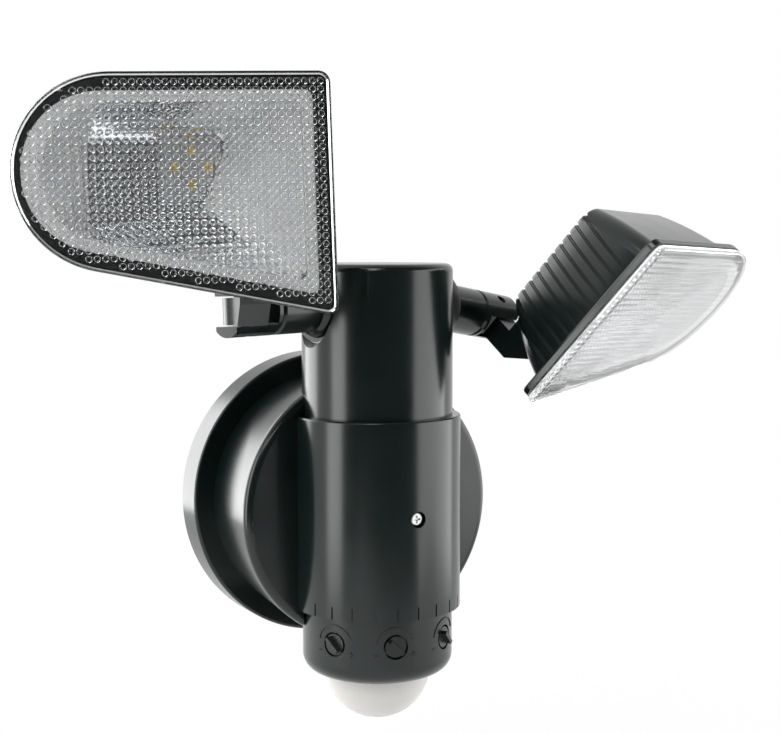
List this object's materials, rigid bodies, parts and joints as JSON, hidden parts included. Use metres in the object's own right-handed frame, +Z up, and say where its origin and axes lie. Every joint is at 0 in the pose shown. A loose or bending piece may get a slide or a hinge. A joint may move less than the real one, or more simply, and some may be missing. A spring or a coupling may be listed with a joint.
{
  "type": "motion sensor security light",
  "caption": "Wall-mounted motion sensor light: round base, upright column with turning sensor ring and dome, and lamp heads on jointed arms.",
  "frame": {"origin": "centre of the wall plate's back face, on the wall", "axes": "+Z up, -Y out of the wall towards the viewer, +X to the viewer's right"},
  "size_m": [0.3178, 0.1396, 0.2493],
  "materials": {
    "black_plastic": "satin moulded",
    "inner_plastic": "moulded, unpainted",
    "gasket_foam": "closed-cell foam",
    "black_rubber": "matte",
    "steel_screws": "zinc plated",
    "dark_screws": "blackened",
    "circuit_board": "solder mask",
    "capacitor_sleeve": "shrink sleeve",
    "terminal_plastic": "moulded",
    "detector_can": "drawn",
    "milky_dome": "milky, satin outside",
    "seat_plastic": "low-friction, as moulded",
    "clear_lens": "clear, beaded inside",
    "reflector_silver": "vacuum metallised",
    "board_aluminium": "as rolled",
    "chip_yellow": "phosphor coated"
  },
  "bodies": {
    "base": {"wall_plate": "black_plastic", "wall_gasket": "gasket_foam", "cable_grommet": "black_rubber", "base_drum": "black_plastic", "plate_screws": "steel_screws", "driver_board": "circuit_board", "driver_capacitor": "capacitor_sleeve", "terminal_block": "terminal_plastic", "hub_front": "black_plastic", "hub_rear": "black_plastic", "hub_screws": "steel_screws", "front_shell": "black_plastic", "shell_screw": "dark_screws", "chassis": "inner_plastic", "chassis_screws": "steel_screws", "hub_floor_screws": "steel_screws", "ring_retainer": "inner_plastic"},
    "sensor": {"sensor_ring": "black_plastic", "potentiometers": "terminal_plastic", "sensor_board": "circuit_board", "pyro_sensor": "detector_can", "pir_dome": "milky_dome"},
    "knob_left": {"knob_left": "black_plastic"},
    "knob_middle": {"knob_middle": "black_plastic"},
    "knob_right": {"knob_right": "black_plastic"},
    "left_seat": {"left_ball_seat": "seat_plastic"},
    "left_arm": {"left_arm_inner": "black_plastic"},
    "left_fork": {"left_arm_outer": "black_plastic", "left_knuckle_pin": "dark_screws"},
    "left_head": {"left_head_housing": "black_plastic", "left_lens": "clear_lens", "left_lens_gasket": "black_rubber", "left_reflector": "reflector_silver", "left_led_board": "board_aluminium", "left_led_chips": "chip_yellow", "left_heat_spreader": "board_aluminium", "left_back_screws": "dark_screws"},
    "right_seat": {"right_ball_seat": "seat_plastic"},
    "right_arm": {"right_arm_inner": "black_plastic"},
    "right_fork": {"right_arm_outer": "black_plastic", "right_knuckle_pin": "dark_screws"},
    "right_head": {"right_head_housing": "black_plastic", "right_lens": "clear_lens", "right_lens_gasket": "black_rubber", "right_reflector": "reflector_silver", "right_led_board": "board_aluminium", "right_led_chips": "chip_yellow", "right_heat_spreader": "board_aluminium", "right_back_screws": "dark_screws"}
  },
  "joints": [
    {"name": "left_sweep", "type": "hinge", "parent": "base", "child": "left_seat", "pos_m": [-0.023, -0.06, 0.0815], "axis": [0, 0, 1], "range_deg": [-33.5, 6.5]},
    {"name": "left_tilt", "type": "hinge", "parent": "left_seat", "child": "left_arm", "pos_m": [-0.023, -0.06, 0.0815], "axis": [0.2334, -0.9724, 0], "range_deg": [-16.8, 13.2]},
    {"name": "left_swivel", "type": "hinge", "parent": "left_arm", "child": "left_fork", "pos_m": [-0.023, -0.06, 0.0815], "axis": [0.9723, 0.2334, 0.014], "range_deg": [-35, 48]},
    {"name": "left_knuckle", "type": "hinge", "parent": "left_fork", "child": "left_head", "pos_m": [-0.06092, -0.0691, 0.08096], "axis": [0.0221, -0.0324, -0.9992], "range_deg": [-27, 38]},
    {"name": "right_sweep", "type": "hinge", "parent": "base", "child": "right_seat", "pos_m": [0.023, -0.06, 0.0815], "axis": [0, 0, -1], "range_deg": [-2.3, 37.7]},
    {"name": "right_tilt", "type": "hinge", "parent": "right_seat", "child": "right_arm", "pos_m": [0.023, -0.06, 0.0815], "axis": [-0.304, 0.9527, 0], "range_deg": [-25.3, 4.7]},
    {"name": "right_swivel", "type": "hinge", "parent": "right_arm", "child": "right_fork", "pos_m": [0.023, -0.06, 0.0815], "axis": [0.9401, 0.3, -0.1616], "range_deg": [-60, 10]},
    {"name": "right_knuckle", "type": "hinge", "parent": "right_fork", "child": "right_head", "pos_m": [0.05967, -0.0483, 0.0752], "axis": [0.3161, -0.5905, 0.7425], "range_deg": [-11, 28]},
    {"name": "sensor_turn", "type": "hinge", "parent": "base", "child": "sensor", "pos_m": [0, -0.06, 0], "axis": [0, 0, 1], "range_deg": [-23.5, 52.5]},
    {"name": "knob_left_turn", "type": "hinge", "parent": "sensor", "child": "knob_left", "pos_m": [-0.02661, -0.07385, -0.0489], "axis": [-0.887, -0.4617, 0], "range_deg": [-135, 135]},
    {"name": "knob_middle_turn", "type": "hinge", "parent": "sensor", "child": "knob_middle", "pos_m": [-0.00751, -0.08904, -0.0489], "axis": [-0.2504, -0.9681, 0], "range_deg": [-135, 135]},
    {"name": "knob_right_turn", "type": "hinge", "parent": "sensor", "child": "knob_right", "pos_m": [0.01656, -0.08502, -0.0489], "axis": [0.5519, -0.8339, 0], "range_deg": [-135, 135]}
  ]
}
